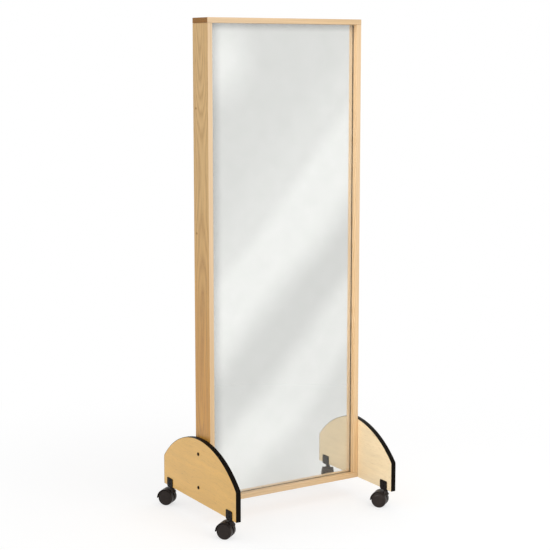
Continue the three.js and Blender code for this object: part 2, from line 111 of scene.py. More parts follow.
def colour(name, description, code):
    return FloatVectorProperty(name=name, description=description, default=linear(code), min=0.0,
                               max=1.0, subtype="COLOR")


class BoardSettings(bpy.types.PropertyGroup):
    edge_radius: size("Edge radius", "Rounding of the boards' long edges", 1.0)
    end_radius: size("End radius", "Rounding of the boards' ends, a fine line at the joints", 0.35)
    groove_depth: size("Groove depth", "Depth of the groove that holds the mirror", 6.0)
    outer_face_oak: colour("Outer face oak", "Lacquered oak on the boards' outer faces", "E7BC76")
    # Painted sheen: the boards' edges and inner faces are drawn in this paler colour in place of the
    # lacquer's sheen.
    painted_sheen_oak: colour("Painted sheen oak", "Paler lacquered oak on the boards' edges and inner faces", "E8C79C")
    late_wood: colour("Late wood", "Tint of the darker porous bands", "E6DAC2")
    butt_end: colour("Butt end", "Tint of the boards towards their butt ends", "F6DC92")


class MirrorSettings(bpy.types.PropertyGroup):
    edge_radius: size("Edge radius", "Rounding of the edges of the glass and its backing", 0.5)
    haze: share("Haze", "Share of the light that dust on the glass scatters", 0.10)
    silver: colour("Silver", "Colour that the silvered glass reflects", "FEFEFC")
    # Painted shade: the silver is drawn darker along its top and left edges, as if in the frame's
    # shadow.
    painted_edge_shade: share("Painted edge shade", "Dulling of the silver along its top and left edges", 0.38)


class FootSettings(bpy.types.PropertyGroup):
    shoulder_radius: size("Shoulder radius", "Rounding where the arch meets an upright end", 12.0)
    arch_steps: IntProperty(name="Arch steps", description="Facets along the arch", default=72, min=8)
    crown: size("Moulding crown", "Height of the moulding's crown above its side edges", 0.45)
    outer_veneer: colour("Outer veneer", "Lacquered birch on the feet's outer faces", "FCC769")
    # Partly painted sheen: the feet's inner faces are drawn paler than their veneer alone.
    inner_veneer_and_sheen: colour("Inner veneer and sheen", "Paler lacquered birch on the feet's inner faces", "EED7AF")
    vinyl: colour("Moulding", "Black vinyl of the edge moulding", "0E0A06")


class FastenerSettings(bpy.types.PropertyGroup):
    recess_depth: size("Recess depth", "Depth of the drive recess in a screw or bolt", 1.6)
    zinc: colour("Zinc plate", "Bright zinc on nuts, stems and axles", "BFC2C5")
    yellow_zinc: colour("Yellow zinc", "Yellow-passivated zinc on the wood screws", "A67C45")
    oxide: colour("Black oxide", "Finish of the foot bolts", "2A221C")


class CasterSettings(bpy.types.PropertyGroup):
    facets: IntProperty(name="Wheel facets", description="Facets round a wheel", default=72, min=16)
    hood_edge: size("Hood edge radius", "Rounding of the hood's outer edges", 1.1)
    nylon: colour("Nylon", "Moulded nylon of wheels and hoods", "241C18")
    coat: colour("Bracket coat", "Powder coat of the brackets and rivets", "130E0B")


class StageSettings(bpy.types.PropertyGroup):
    lens: FloatProperty(name="Focal length", description="Camera lens", default=91.68, unit="CAMERA")
    shift: FloatProperty(name="Lens shift", description="Upright shift of the lens", default=-0.04)
    ambient: FloatProperty(name="Ambient", description="Level of the soft light from all sides",
                           default=0.80, min=0.0)
    key: FloatProperty(name="Key", description="Power of the tall softbox in front",
                       default=10.6, min=0.0, unit="POWER")
    strip: FloatProperty(name="Strip", description="Power of the narrow softbox at the left",
                         default=34.0, min=0.0, unit="POWER")
    floor: colour("Floor", "Matt white floor", "E6E6E6")


# ------------------------------------------------------------------ mesh tools

def kept(work):
    """The mesh of a working copy, which is used up."""
    mesh = bpy.data.meshes.new("work")
    work.to_mesh(mesh)
    work.free()
    return mesh


def solid(points, faces):
    """A closed mesh with its faces turned outwards."""
    work = bmesh.new()
    corners = [work.verts.new(point) for point in points]
    for face in faces:
        work.faces.new([corners[k] for k in face])
    bmesh.ops.recalc_face_normals(work, faces=work.faces)
    return kept(work)


def lofted(rings):
    """A skin over rings of equally many points, with a flat face at each end."""
    count = len(rings[0])
    faces = [
        (k + i, k + (i + 1) % count, k + count + (i + 1) % count, k + count + i)
        for k in range(0, (len(rings) - 1) * count, count) for i in range(count)
    ]
    last = (len(rings) - 1) * count
    faces += [tuple(range(count)), tuple(range(last, last + count))]
    return solid([point for ring in rings for point in ring], faces)


def turned(profile, segments=40):
    """A solid of revolution about Z from (radius, height) pairs that start and end on the axis."""
    points, rows, faces = [], [], []
    for radius, height in profile:
        turns = segments if radius > 0 else 1
        rows.append(range(len(points), len(points) + turns))
        for k in range(turns):
            angle = math.tau * k / segments
            points.append((radius * math.cos(angle), radius * math.sin(angle), height))
    for low, high in zip(rows, rows[1:]):
        for k in range(segments):
            corners = (low[k % len(low)], low[(k + 1) % len(low)],
                       high[(k + 1) % len(high)], high[k % len(high)])
            corners = tuple(dict.fromkeys(corners))
            if len(corners) > 2:
                faces.append(corners)
    return solid(points, faces)


def arc(centre, radius, start, end, steps):
    """Points on a circle between two angles in degrees."""
    angles = [math.radians(start + (end - start) * k / steps) for k in range(steps + 1)]
    return [(centre[0] + radius * math.cos(a), centre[1] + radius * math.sin(a)) for a in angles]


def rounded(points, radii, steps=4):
    """The closed 2D outline through points, with the corners in radii (index to radius) rounded."""
    line = []
    for k, point in enumerate(points):
        radius = radii.get(k, 0)
        if not radius:
            line.append(tuple(point))
            continue
        here = Vector(point)
        before = (Vector(points[k - 1]) - here).normalized()
        after = (Vector(points[(k + 1) % len(points)]) - here).normalized()
        half = before.angle(after) / 2
        centre = here + (before + after).normalized() * (radius / math.sin(half))
        start = here + before * (radius / math.tan(half)) - centre
        end = here + after * (radius / math.tan(half)) - centre
        for step in range(steps + 1):
            spoke = start.lerp(end, step / steps).normalized() * radius
            line.append(tuple(centre + spoke))
    return line


def bar(lengths, edge, end):
    """A bar along X with its long edges rounded by one radius and its ends by another."""
    rings = []
    for along, inset in ((0, end), (0.3 * end, 0.3 * end), (end, 0)):
        w, h = lengths[1] / 2 - inset, lengths[2] / 2 - inset
        corners = [(-w, -h), (w, -h), (w, h), (-w, h)]
        ring = rounded(corners, dict.fromkeys(range(4), max(edge - inset, 0.05)))
        rings.append((lengths[0] / 2 - along, ring))
    stations = [(-x, ring) for x, ring in rings] + [(x, ring) for x, ring in reversed(rings)]
    return lofted([[(x, y, z) for y, z in ring] for x, ring in stations])


def block(low, high):
    """A tool block between two corners."""
    work = bmesh.new()
    low, high = Vector(low), Vector(high)
    middle = Matrix.Translation((low + high) / 2)
    bmesh.ops.create_cube(work, size=1, matrix=middle @ Matrix.Diagonal((*(high - low), 1)))
    return kept(work)


def slab(outline, thickness, ease=0.0, eased=lambda a, b: True):
    """An outline given thickness along Z, with the rim edges that pass the test rounded."""
    half = thickness / 2
    mesh = lofted([[(x, y, z) for x, y in outline] for z in (-half, half)])
    if ease:
        work = bmesh.new()
        work.from_mesh(mesh)
        rim = [
            edge for edge in work.edges
            if abs(edge.verts[0].co.z - edge.verts[1].co.z) < 1e-6
            and eased(edge.verts[0].co, edge.verts[1].co)
        ]
        bmesh.ops.bevel(work, geom=rim, offset=ease, segments=2, profile=0.5, affect="EDGES",
                        clamp_overlap=False)
        work.to_mesh(mesh)
        work.free()
    return mesh


def rod(radius, low, high, segments=24):
    """A round bar along Z."""
    return turned([(0, low), (radius, low), (radius, high), (0, high)], segments)


def basis(x, y, z, origin=(0, 0, 0)):
    """The frame with these axes and origin."""
    matrix = Matrix((x, y, z)).transposed().to_4x4()
    matrix.translation = Vector(origin)
    return matrix


def aimed(origin, direction):
    """A frame at origin whose +Z looks along direction, which is square to Z or along it."""
    side = X if abs(direction.z) > 0.5 else Z
    return basis(side, direction.cross(side), direction, origin)


def moved(mesh, matrix):
    mesh.transform(matrix)
    return mesh


def carved(body, tool, operation="DIFFERENCE"):
    """The boolean of two meshes, which are used up."""
    pair = [bpy.data.objects.new("carving", mesh) for mesh in (body, tool)]
    for item in pair:
        bpy.context.scene.collection.objects.link(item)
    modifier = pair[0].modifiers.new("carve", "BOOLEAN")
    modifier.object, modifier.operation, modifier.solver = pair[1], operation, "EXACT"
    graph = bpy.context.evaluated_depsgraph_get()
    result = bpy.data.meshes.new_from_object(pair[0].evaluated_get(graph))
    for item in pair:
        mesh = item.data
        bpy.data.objects.remove(item)
        bpy.data.meshes.remove(mesh)
    if not result.polygons:
        raise RuntimeError("a carving left nothing")
    return result


def box_mm(node):
    """The two corners of a CAD node's box, in millimetres."""
    low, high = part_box(node)
    return low / MM, high / MM


def face_centre(node, direction):
    """The middle of a node's box on the side that direction names, in millimetres."""
    low, high = box_mm(node)
    return (low + high) / 2 + Vector([d * (b - a) / 2 for a, b, d in zip(low, high, direction)])


def place(name, mesh, material, body, at, node, sharp=35):
    """Makes a piece of a mesh at a frame, both in millimetres. It stands for a CAD node."""
    mesh.name = name
    mesh.transform(Matrix.Scale(MM, 4))
    if not mesh.materials:
        mesh.materials.append(material)
    mesh.polygons.foreach_set("use_smooth", [True] * len(mesh.polygons))
    mesh.set_sharp_from_angle(angle=math.radians(sharp))
    piece = bpy.data.objects.new(name, mesh)
    bpy.context.scene.collection.objects.link(piece)
    at = at.copy()
    at.translation *= MM
    piece.matrix_world = at
    piece.modifiers.new("flat_faces_stay_flat", "WEIGHTED_NORMAL").keep_sharp = True
    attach(piece, body)
    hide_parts(node)


# ------------------------------------------------------------------ finishes

def add(tree, kind, inputs=None, stops=(), **settings):
    """Adds a shader node. Inputs are values, or the nodes and sockets that feed them."""
    node = tree.nodes.new("ShaderNode" + kind)
    for name, value in settings.items():
        setattr(node, name, value)
    for key, value in (inputs or {}).items():
        value = value.outputs[0] if isinstance(value, bpy.types.Node) else value
        if isinstance(value, bpy.types.NodeSocket):
            tree.links.new(value, node.inputs[key])
        else:
            node.inputs[key].default_value = value
    for k, (position, value) in enumerate(stops):
        elements = node.color_ramp.elements
        element = elements[k] if k < len(elements) else elements.new(position)
        element.position, element.color = position, (*value, 1)
    return node


def finish(name, surface):
    """The finish of that name, made once by a function that returns its surface shader."""
    if name not in bpy.data.materials:
        material = bpy.data.materials.new(name)
        material.use_nodes = True
        tree = material.node_tree
        tree.nodes.clear()
        add(tree, "OutputMaterial", {"Surface": surface(tree)})
    return bpy.data.materials[name]


def lacquered_oak(settings):
    """Flat-sawn oak boards under satin lacquer: bands in long arches down the face, darker and porous
    where growth was slow, end grain darker still, and a soft sheen, which on the edges and inner faces
    is painted as a paler colour."""

    def surface(tree):
        # Every board comes from another place in the log.
        point = add(tree, "TexCoord")
        seat = add(tree, "ObjectInfo").outputs["Location"]
        log = add(tree, "VectorMath", {0: seat, 1: (11.0, 17.0, 13.0)}, operation="MULTIPLY")
        log = add(tree, "VectorMath", {0: log, 1: point.outputs["Object"]}, operation="ADD")
        # The centre of the log lies some 60 mm under the face and wanders, which closes bands to arches.
        slow = add(tree, "VectorMath", {0: log, 1: (1.1, 3.0, 3.0)}, operation="MULTIPLY")
        wander = add(tree, "TexNoise", {"Vector": slow, "Scale": 1.0, "Detail": 1.5, "Roughness": 0.4})
        sway = add(tree, "VectorMath", {0: wander.outputs["Color"], 1: (0.5, 0.5, 0.5)},
                   operation="SUBTRACT")
        sway = add(tree, "VectorMath", {0: sway, 1: (0.0, 0.10, 0.18)}, operation="MULTIPLY")
        pith = add(tree, "VectorMath", {0: point.outputs["Object"], 1: sway}, operation="ADD")
        pith = add(tree, "VectorMath", {0: pith, 1: (0.0, 1.0, 1.0)}, operation="MULTIPLY")
        pith = add(tree, "VectorMath", {0: pith, 1: (0.0, 0.004, 0.062)}, operation="ADD")
        radius = add(tree, "VectorMath", {0: pith}, operation="LENGTH").outputs["Value"]
        # Growth rings 2 to 3 mm wide are too fine for the picture, so they are drawn 6 mm wide.
        ragged = add(tree, "VectorMath", {0: log, 1: (11.0, 130.0, 130.0)}, operation="MULTIPLY")
        ragged = add(tree, "TexNoise", {"Vector": ragged, "Scale": 1.0, "Detail": 3.0})
        rings = add(tree, "Math", {0: radius, 1: 1 / 0.006}, operation="MULTIPLY")
        rings = add(tree, "Math", {0: ragged.outputs["Fac"], 1: 0.8, 2: rings}, operation="MULTIPLY_ADD")
        ring = add(tree, "Math", {0: rings}, operation="FRACT")
        levels = ((0.0, 0.55), (0.12, 1.0), (0.40, 0.30), (0.72, 0.0), (1.0, 0.55))
        band = add(tree, "ValToRGB", {0: ring}, [(at, (level,) * 3) for at, level in levels])
        # A board's narrow edges are cut square to the rings, which draw fine and faint there. Only its
        # outer face shows the oak's own colour; its edges and inner faces get a paler colour that is
        # painted sheen.
        facing = add(tree, "SeparateXYZ", {0: point.outputs["Normal"]})
        outer_face_mask = add(tree, "MapRange", {0: facing.outputs["Z"], 1: 0.3, 2: 0.8, 3: 0.0, 4: 1.0})
        plain = add(tree, "Math", {0: facing.outputs["Y"]}, operation="ABSOLUTE")
        plain = add(tree, "MapRange", {0: plain, 1: 0.5, 2: 0.9, 3: 1.0, 4: 0.3})
        band = add(tree, "Math", {0: band, 1: plain}, operation="MULTIPLY")
        # Streaks 8 mm wide and half a metre long, and fibres 1 mm wide and 60 mm long.
        streak = add(tree, "VectorMath", {0: log, 1: (2.0, 120.0, 120.0)}, operation="MULTIPLY")
        streak = add(tree, "TexNoise", {"Vector": streak, "Scale": 1.0, "Detail": 2.0}).outputs["Fac"]
        fibre = add(tree, "VectorMath", {0: log, 1: (16.0, 900.0, 900.0)}, operation="MULTIPLY")
        fibre = add(tree, "TexNoise", {"Vector": fibre, "Scale": 1.0, "Detail": 2.0}).outputs["Fac"]
        # Open pores up to 15 mm long, mostly in the porous bands.
        pores = add(tree, "VectorMath", {0: log, 1: (70.0, 1300.0, 1300.0)}, operation="MULTIPLY")
        pores = add(tree, "TexNoise", {"Vector": pores, "Scale": 1.0, "Detail": 1.0}).outputs["Fac"]
        pores = add(tree, "MapRange", {0: pores, 1: 0.60, 2: 0.74, 3: 0.0, 4: 0.8})
        pores = add(tree, "Math", {0: pores, 1: band}, operation="MULTIPLY")
        # Painted sheen: edges and inner faces take the paler colour, outer faces the oak's own.
        wood = add(tree, "Mix", {0: outer_face_mask, 6: (*settings.painted_sheen_oak, 1), 7: (*settings.outer_face_oak, 1)},
                   data_type="RGBA").outputs[2]
        wood = add(tree, "Mix", {0: band, 6: wood, 7: (*settings.late_wood, 1)},
                   data_type="RGBA", blend_type="MULTIPLY").outputs[2]
        wood = add(tree, "Mix", {0: pores, 6: wood, 7: (*linear("8A6134"), 1)},
                   data_type="RGBA").outputs[2]
        # Towards its butt end the wood is warmer, on the outer face much more than on the edges.
        along = add(tree, "SeparateXYZ", {0: point.outputs["Object"]}).outputs["X"]
        butt = add(tree, "MapRange", {0: along, 1: 0.35, 2: -0.55, 3: 0.0, 4: 1.0},
                   interpolation_type="SMOOTHSTEP")
        warm = add(tree, "Math", {0: outer_face_mask, 1: 0.85, 2: 0.15}, operation="MULTIPLY_ADD")
        butt = add(tree, "Math", {0: butt, 1: warm}, operation="MULTIPLY")
        wood = add(tree, "Mix", {0: butt, 6: wood, 7: (*settings.butt_end, 1)},
                   data_type="RGBA", blend_type="MULTIPLY").outputs[2]
        tone = add(tree, "MapRange", {0: streak, 1: 0.3, 2: 0.7, 3: 0.90, 4: 1.06})
        tone = add(tree, "Math", {0: fibre, 1: 0.16, 2: tone}, operation="MULTIPLY_ADD")
        tone = add(tree, "Math", {0: tone, 1: 0.08}, operation="SUBTRACT")
        wood = add(tree, "VectorMath", {0: wood, 3: tone}, operation="SCALE").outputs[0]
        # End grain drinks the lacquer and goes darker.
        end = add(tree, "Math", {0: facing.outputs["X"]}, operation="ABSOLUTE")
        end = add(tree, "MapRange", {0: end, 1: 0.6, 2: 0.95, 3: 0.0, 4: 1.0})
        wood = add(tree, "Mix", {0: end, 6: wood, 7: (0.50, 0.34, 0.16, 1)},
                   data_type="RGBA", blend_type="MULTIPLY").outputs[2]
        gloss = add(tree, "MapRange", {0: fibre, 1: 0.2, 2: 0.8, 3: 0.36, 4: 0.48})
        gloss = add(tree, "Math", {0: end, 1: 0.4, 2: gloss}, operation="MULTIPLY_ADD")
        coat = add(tree, "Math", {0: end, 1: -0.3, 2: 0.3}, operation="MULTIPLY_ADD")
        dents = add(tree, "Math", {0: pores, 1: -1.0}, operation="MULTIPLY")
        bump = add(tree, "Bump", {"Strength": 0.25, "Distance": 0.0002, "Height": dents})
        return add(tree, "BsdfPrincipled", {
            "Base Color": wood, "Roughness": gloss, "Normal": bump, "IOR": 1.5,
            "Coat Weight": coat, "Coat Roughness": 0.3})

    return finish("lacquered_flat_sawn_oak", surface)


def lacquered_birch(settings):
    """Birch plywood under satin lacquer: an even pale veneer with faint long figure and a few darker
    flecks, and thin plies in turn pale and brown where the cut edge shows."""

    def surface(tree):
        point = add(tree, "TexCoord")
        seat = add(tree, "ObjectInfo").outputs["Location"]
        leaf = add(tree, "VectorMath", {0: seat, 1: (11.0, 17.0, 13.0)}, operation="MULTIPLY")
        leaf = add(tree, "VectorMath", {0: leaf, 1: point.outputs["Object"]}, operation="ADD")
        warp = add(tree, "TexNoise", {"Vector": leaf, "Scale": 6.0, "Detail": 1.0})
        warp = add(tree, "VectorMath", {0: warp.outputs["Color"], 1: (0.0, 0.035, 0.0)},
                   operation="MULTIPLY")
        veneer = add(tree, "VectorMath", {0: leaf, 1: warp}, operation="ADD")
        # Figure in soft streaks 15 mm apart and some 250 mm long.
        figure = add(tree, "VectorMath", {0: veneer, 1: (4.0, 62.0, 4.0)}, operation="MULTIPLY")
        figure = add(tree, "TexNoise", {"Vector": figure, "Scale": 1.0, "Detail": 4.0}).outputs["Fac"]
        cloud = add(tree, "TexNoise", {"Vector": leaf, "Scale": 8.0, "Detail": 2.0}).outputs["Fac"]
        shade = add(tree, "Math", {0: figure, 1: 0.65}, operation="MULTIPLY")
        shade = add(tree, "Math", {0: cloud, 1: 0.35, 2: shade}, operation="MULTIPLY_ADD")
        shade = add(tree, "MapRange", {0: shade, 1: 0.37, 2: 0.63, 3: 0.90, 4: 1.0})
        # The better leaf of the plywood, on a foot's outer face, is the warmer one. The paler inner
        # faces are partly the other leaf's colour and partly painted sheen.
        out = add(tree, "SeparateXYZ", {0: point.outputs["Normal"]}).outputs["Z"]
        side = add(tree, "Math", {0: add(tree, "SeparateXYZ", {0: seat})}, operation="SIGN")
        outer = add(tree, "Math", {0: out, 1: side}, operation="MULTIPLY", use_clamp=True)
        wood = add(tree, "Mix", {0: outer, 6: (*settings.inner_veneer_and_sheen, 1),
                                 7: (*settings.outer_veneer, 1)}, data_type="RGBA").outputs[2]
        wood = add(tree, "VectorMath", {0: wood, 3: shade}, operation="SCALE").outputs[0]
        fibre = add(tree, "VectorMath", {0: veneer, 1: (22.0, 800.0, 22.0)}, operation="MULTIPLY")
        fibre = add(tree, "TexNoise", {"Vector": fibre, "Scale": 1.0, "Detail": 2.0}).outputs["Fac"]
        tone = add(tree, "MapRange", {0: fibre, 1: 0.25, 2: 0.75, 3: 0.95, 4: 1.03})
        wood = add(tree, "VectorMath", {0: wood, 3: tone}, operation="SCALE").outputs[0]
        # Flecks about 1 mm wide and 20 mm long.
        flecks = add(tree, "VectorMath", {0: veneer, 1: (55.0, 900.0, 55.0)}, operation="MULTIPLY")
        flecks = add(tree, "TexNoise", {"Vector": flecks, "Scale": 1.0, "Detail": 0.0}).outputs["Fac"]
        flecks = add(tree, "MapRange", {0: flecks, 1: 0.70, 2: 0.78, 3: 0.0, 4: 0.35})
        wood = add(tree, "Mix", {0: flecks, 6: wood, 7: (*linear("A9793F"), 1)},
                   data_type="RGBA").outputs[2]
        # Thirteen plies across 18 mm.
        through = add(tree, "SeparateXYZ", {0: point.outputs["Object"]}).outputs["Z"]
        plies = add(tree, "Math", {0: through, 1: 13 / 0.018}, operation="MULTIPLY")
        plies = add(tree, "Math", {0: plies, 1: 1.0}, operation="PINGPONG")
        plies = add(tree, "ValToRGB", {0: plies}, [(0.40, linear("D9B684")), (0.60, linear("A77E4B"))])
        out = add(tree, "Math", {0: out}, operation="ABSOLUTE")
        face = add(tree, "MapRange", {0: out, 1: 0.4, 2: 0.6, 3: 0.0, 4: 1.0})
        wood = add(tree, "Mix", {0: face, 6: plies, 7: wood}, data_type="RGBA").outputs[2]
        gloss = add(tree, "MapRange", {0: fibre, 1: 0.2, 2: 0.8, 3: 0.34, 4: 0.42})
        bump = add(tree, "Bump", {"Strength": 0.12, "Distance": 0.0001, "Height": fibre})
        return add(tree, "BsdfPrincipled", {
            "Base Color": wood, "Roughness": gloss, "Normal": bump, "IOR": 1.5,
            "Coat Weight": 0.3, "Coat Roughness": 0.3})

    return finish("lacquered_birch_plywood", surface)


def polished_glass(settings):
    """Float glass with polished edges: clear, a trace of green, and fine dust that lifts the blacks."""

    def surface(tree):
        spot = add(tree, "TexCoord").outputs["Object"]
        dust = add(tree, "TexNoise", {"Vector": spot, "Scale": 14.0, "Detail": 6.0, "Roughness": 0.6})
        tint = add(tree, "ValToRGB", {0: dust.outputs["Fac"]},
                   [(0.3, linear("FAFCFA")), (0.7, linear("FEFFFE"))])
        return add(tree, "BsdfPrincipled", {
            "Base Color": tint, "Roughness": 0.0, "IOR": 1.52,
            "Transmission Weight": 1.0 - settings.haze})

    return finish("polished_float_glass", surface)


def silvered_back(settings, lengths):
    """Silver laid wet on the back of the glass: an even mirror, with painted shade that darkens it
    towards its top and left edges.
    """

    def surface(tree):
        where = add(tree, "SeparateXYZ", {0: add(tree, "TexCoord").outputs["Object"]})
        from_top = add(tree, "Math", {0: lengths[0] / 2 * MM, 1: where.outputs["X"]},
                       operation="SUBTRACT")
        from_left = add(tree, "Math", {0: where.outputs["Y"], 1: lengths[1] / 2 * MM}, operation="ADD")
        # Painted shade: towards the top and left edges the silver is darkened to this level.
        edge_shade_level = 1.0 - settings.painted_edge_shade
        top = add(tree, "MapRange", {0: from_top, 1: 0.004, 2: 0.035, 3: edge_shade_level, 4: 1.0},
                  interpolation_type="SMOOTHSTEP")
        left = add(tree, "MapRange", {0: from_left, 1: 0.004, 2: 0.060, 3: edge_shade_level, 4: 1.0},
                   interpolation_type="SMOOTHSTEP")
        both = add(tree, "Math", {0: left, 1: top}, operation="MULTIPLY")
        silver = add(tree, "VectorMath", {0: tuple(settings.silver), 3: both}, operation="SCALE")
        return add(tree, "BsdfPrincipled", {"Base Color": silver, "Metallic": 1.0, "Roughness": 0.0})

    return finish("silver_on_glass", surface)


def pressed_hardboard():
    """Tempered hardboard: wood fibre pressed to a dark brown sheet, with a woven screen mark."""

    def surface(tree):
        spot = add(tree, "TexCoord").outputs["Object"]
        fibres = add(tree, "TexNoise", {"Vector": spot, "Scale": 240.0, "Detail": 5.0, "Roughness": 0.7})
        fibres = fibres.outputs["Fac"]
        cloud = add(tree, "TexNoise", {"Vector": spot, "Scale": 5.0, "Detail": 3.0}).outputs["Fac"]
        mixed = add(tree, "Mix", {0: 0.75, 2: cloud, 3: fibres}).outputs[0]
        brown = add(tree, "ValToRGB", {0: mixed}, [
            (0.38, linear("6E4A2C")), (0.50, linear("85603C")), (0.62, linear("9A7249"))])
        # The screen's wires are 1.5 mm apart, and 4 mm shows in the picture.
        axes = add(tree, "SeparateXYZ", {0: spot})
        wires = [add(tree, "Math", {0: axes.outputs[name], 1: math.tau / 0.004}, operation="MULTIPLY")
                 for name in ("X", "Y")]
        wires = [add(tree, "Math", {0: wire}, operation="SINE") for wire in wires]
        band_shade = add(tree, "Math", {0: wires[0], 1: wires[1]}, operation="MULTIPLY")
        bump = add(tree, "Bump", {"Strength": 0.5, "Distance": 0.0003, "Height": band_shade})
        bump = add(tree, "Bump", {"Strength": 0.3, "Distance": 0.0003, "Height": fibres, "Normal": bump})
        rough = add(tree, "MapRange", {0: fibres, 1: 0.3, 2: 0.7, 3: 0.62, 4: 0.85})
        return add(tree, "BsdfPrincipled", {"Base Color": brown, "Roughness": rough, "Normal": bump})

    return finish("pressed_hardboard", surface)


def black_surface(name, base, worn, grain, rough_from, rough_to, relief, specular=0.25):
    """A black polymer or coat: soft clouds between two near blacks and a fine texture of its own, whose
    grain and relief are in millimetres."""

    def surface(tree):
        spot = add(tree, "TexCoord").outputs["Object"]
        cloud = add(tree, "TexNoise", {"Vector": spot, "Scale": 55.0, "Detail": 5.0, "Roughness": 0.6})
        paler = tuple(part * worn for part in base)
        tone = add(tree, "ValToRGB", {0: cloud.outputs["Fac"]}, [(0.35, tuple(base)), (0.70, paler)])
        texture = add(tree, "TexNoise", {"Vector": spot, "Scale": 1 / (grain * MM), "Detail": 2.0})
        rough = add(tree, "MapRange", {0: cloud.outputs["Fac"], 1: 0.3, 2: 0.7,
                                       3: rough_from, 4: rough_to})
        bump = add(tree, "Bump", {"Strength": 0.5, "Distance": relief * MM,
                                  "Height": texture.outputs["Fac"]})
        return add(tree, "BsdfPrincipled", {
            "Base Color": tone, "Roughness": rough, "Normal": bump, "Specular IOR Level": specular})

    return finish(name, surface)


def metal_plate(name, base, fine, rough_from, rough_to):
    """A thin finish on steel: crystals of a size in millimetres that vary in tone and gloss."""

    def surface(tree):
        spot = add(tree, "TexCoord").outputs["Object"]
        grain = add(tree, "TexNoise", {"Vector": spot, "Scale": 1 / (fine * MM), "Detail": 3.0})
        dark = tuple(part * 0.78 for part in base)
        tone = add(tree, "ValToRGB", {0: grain.outputs["Fac"]}, [(0.3, dark), (0.7, tuple(base))])
        rough = add(tree, "MapRange", {0: grain.outputs["Fac"], 1: 0.3, 2: 0.7,
                                       3: rough_from, 4: rough_to})
        return add(tree, "BsdfPrincipled", {"Base Color": tone, "Metallic": 1.0, "Roughness": rough})

    return finish(name, surface)


def zinc_plate():
    """Bright zinc on turned steel: pale and faintly blue, with a half gloss."""
    return metal_plate("bright_zinc_plate", bpy.context.scene.mirror_fasteners.zinc, 2.5, 0.24, 0.38)


# ------------------------------------------------------------------ frame, mirror and back

def screw_profile(reach, room=0.0):
    """A countersunk wood screw that points down from its head's face."""
    shank, head = 2.0 + room, 4.0 + room
    return [(0, -reach - room), (0.35 + room, -reach), (shank, 4 - reach), (shank, -2), (head, -0.15),
            (head, 0)]


def screw_hole(node, outward):
    """The room that a wood screw takes in a board, with a little to spare."""
    low, high = box_mm(node)
    profile = screw_profile(max(high - low), SEAT) + [(4.3, 2), (0, 2)]
    return moved(turned(profile, 32), aimed(face_centre(node, outward), outward))


def board_tools(node, groove_depth):
    """What is cut out of a board: the mirror's groove, and the holes of its screws and bolts."""
    tools = []
    if "spreader" not in node:
        low = (box_mm("left_stile")[1].x, box_mm("mirror_pane")[0].y, box_mm("bottom_rail")[1].z)
        high = (box_mm("right_stile")[0].x, box_mm("backing_board")[1].y, box_mm("top_rail")[0].z)
        room = Vector((groove_depth, SEAT, groove_depth))
        tools.append(block(Vector(low) - room, Vector(high) + room))
    for side, outward in OUTWARD.items():
        for level in LEVELS:
            if node in (f"{side}_stile", f"{level}_spreader"):
                tools.append(screw_hole(f"{level}_spreader_screw_{side}", outward))
            if node == f"{side}_stile":
                centre = face_centre(f"{side}_{level}_foot_bolt", outward)
                tools.append(moved(rod(BOLT_BORE, -60, 10), aimed(centre, outward)))
        for end, up in (("top", Z), ("bottom", -Z)):
            if node in (f"{side}_stile", f"{end}_rail"):
                tools.append(screw_hole(f"{end}_{side}_corner_screw", up))
    return tools


class FLOOR_MIRROR_OT_boards(bpy.types.Operator):
    """Adds the four boards of the frame and the two spreaders across its back"""
    bl_idname = "floor_mirror.boards"
    bl_label = "Frame boards"

    def execute(self, context):
        settings = context.scene.mirror_boards
        oak = lacquered_oak(settings)
        for node, axes in BOARDS.items():
            low, high = box_mm(node)
            lengths = [abs((high - low).dot(axis)) for axis in axes]
            at = basis(*axes, (low + high) / 2)
            mesh = moved(bar(lengths, settings.edge_radius / MM, settings.end_radius / MM), at)
            for tool in board_tools(node, settings.groove_depth / MM):
                mesh = carved(mesh, tool)
            place(node + "_board", moved(mesh, at.inverted()), oak, "frame", at, node)
        return {"FINISHED"}


class FLOOR_MIRROR_OT_mirror(bpy.types.Operator):
    """Adds the silvered glass and the hardboard behind it"""
    bl_idname = "floor_mirror.mirror"
    bl_label = "Mirror and backing"

    def execute(self, context):
        settings = context.scene.mirror_glass
        edge = settings.edge_radius / MM
        for node in ("mirror_pane", "backing_board"):
            low, high = box_mm(node)
            lengths = [(high - low).dot(axis) for axis in (Z, X, Y)]
            mesh, at = bar(lengths, edge, edge), basis(Z, X, Y, (low + high) / 2)
            if node == "backing_board":
                place("hardboard_back", mesh, pressed_hardboard(), "frame", at, node)
                continue
            mesh.materials.append(polished_glass(settings))
            mesh.materials.append(silvered_back(settings, lengths))
            for face in mesh.polygons:
                face.material_index = int(face.normal.z > 0.99)
            place("silvered_glass", mesh, None, "frame", at, node, sharp=10)
        return {"FINISHED"}


# ------------------------------------------------------------------ screws, bolts and nuts

def cross_recess(depth):
    """A tapered cross, which is cut into a screw's head."""
    blades = []
    for turn in (0, 1):
        rings = []
        for height, half in ((-depth, 0.7), (0.3, 2.3)):
            ring = [(-half, -0.45), (half, -0.45), (half, 0.45), (-half, 0.45)]
            rings.append([(y, -x, height) if turn else (x, y, height) for x, y in ring])
        blades.append(lofted(rings))
    return carved(blades[0], blades[1], "UNION")


